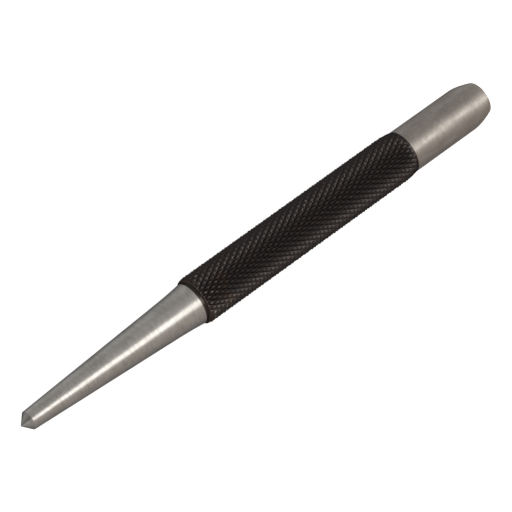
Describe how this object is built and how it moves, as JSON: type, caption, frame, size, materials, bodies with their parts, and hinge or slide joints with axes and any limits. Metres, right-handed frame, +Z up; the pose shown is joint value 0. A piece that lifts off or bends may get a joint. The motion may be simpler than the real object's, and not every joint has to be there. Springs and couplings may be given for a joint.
{
  "type": "center punch",
  "caption": "Hand center punch: conical point, long tapered nose, diamond-knurled round grip, plain shank and a tapered struck head.",
  "frame": {"origin": "on the surface the punch lies on, under the middle of its length and its axis", "axes": "+X along the punch's axis, from the point towards the struck head; +Z up, away from the surface the grip lies on"},
  "size_m": [0.0952, 0.0082, 0.0081],
  "materials": {
    "ground_steel": "ground bright, with fine lines around the axis",
    "black_oxide": "diamond knurled and blackened, lightly oiled",
    "satin_steel": "satin, brushed around the axis"
  },
  "bodies": {
    "root": {"point": "ground_steel", "tapered_nose": "ground_steel", "knurled_grip": "black_oxide", "shank": "satin_steel", "struck_head": "satin_steel"}
  },
  "joints": []
}
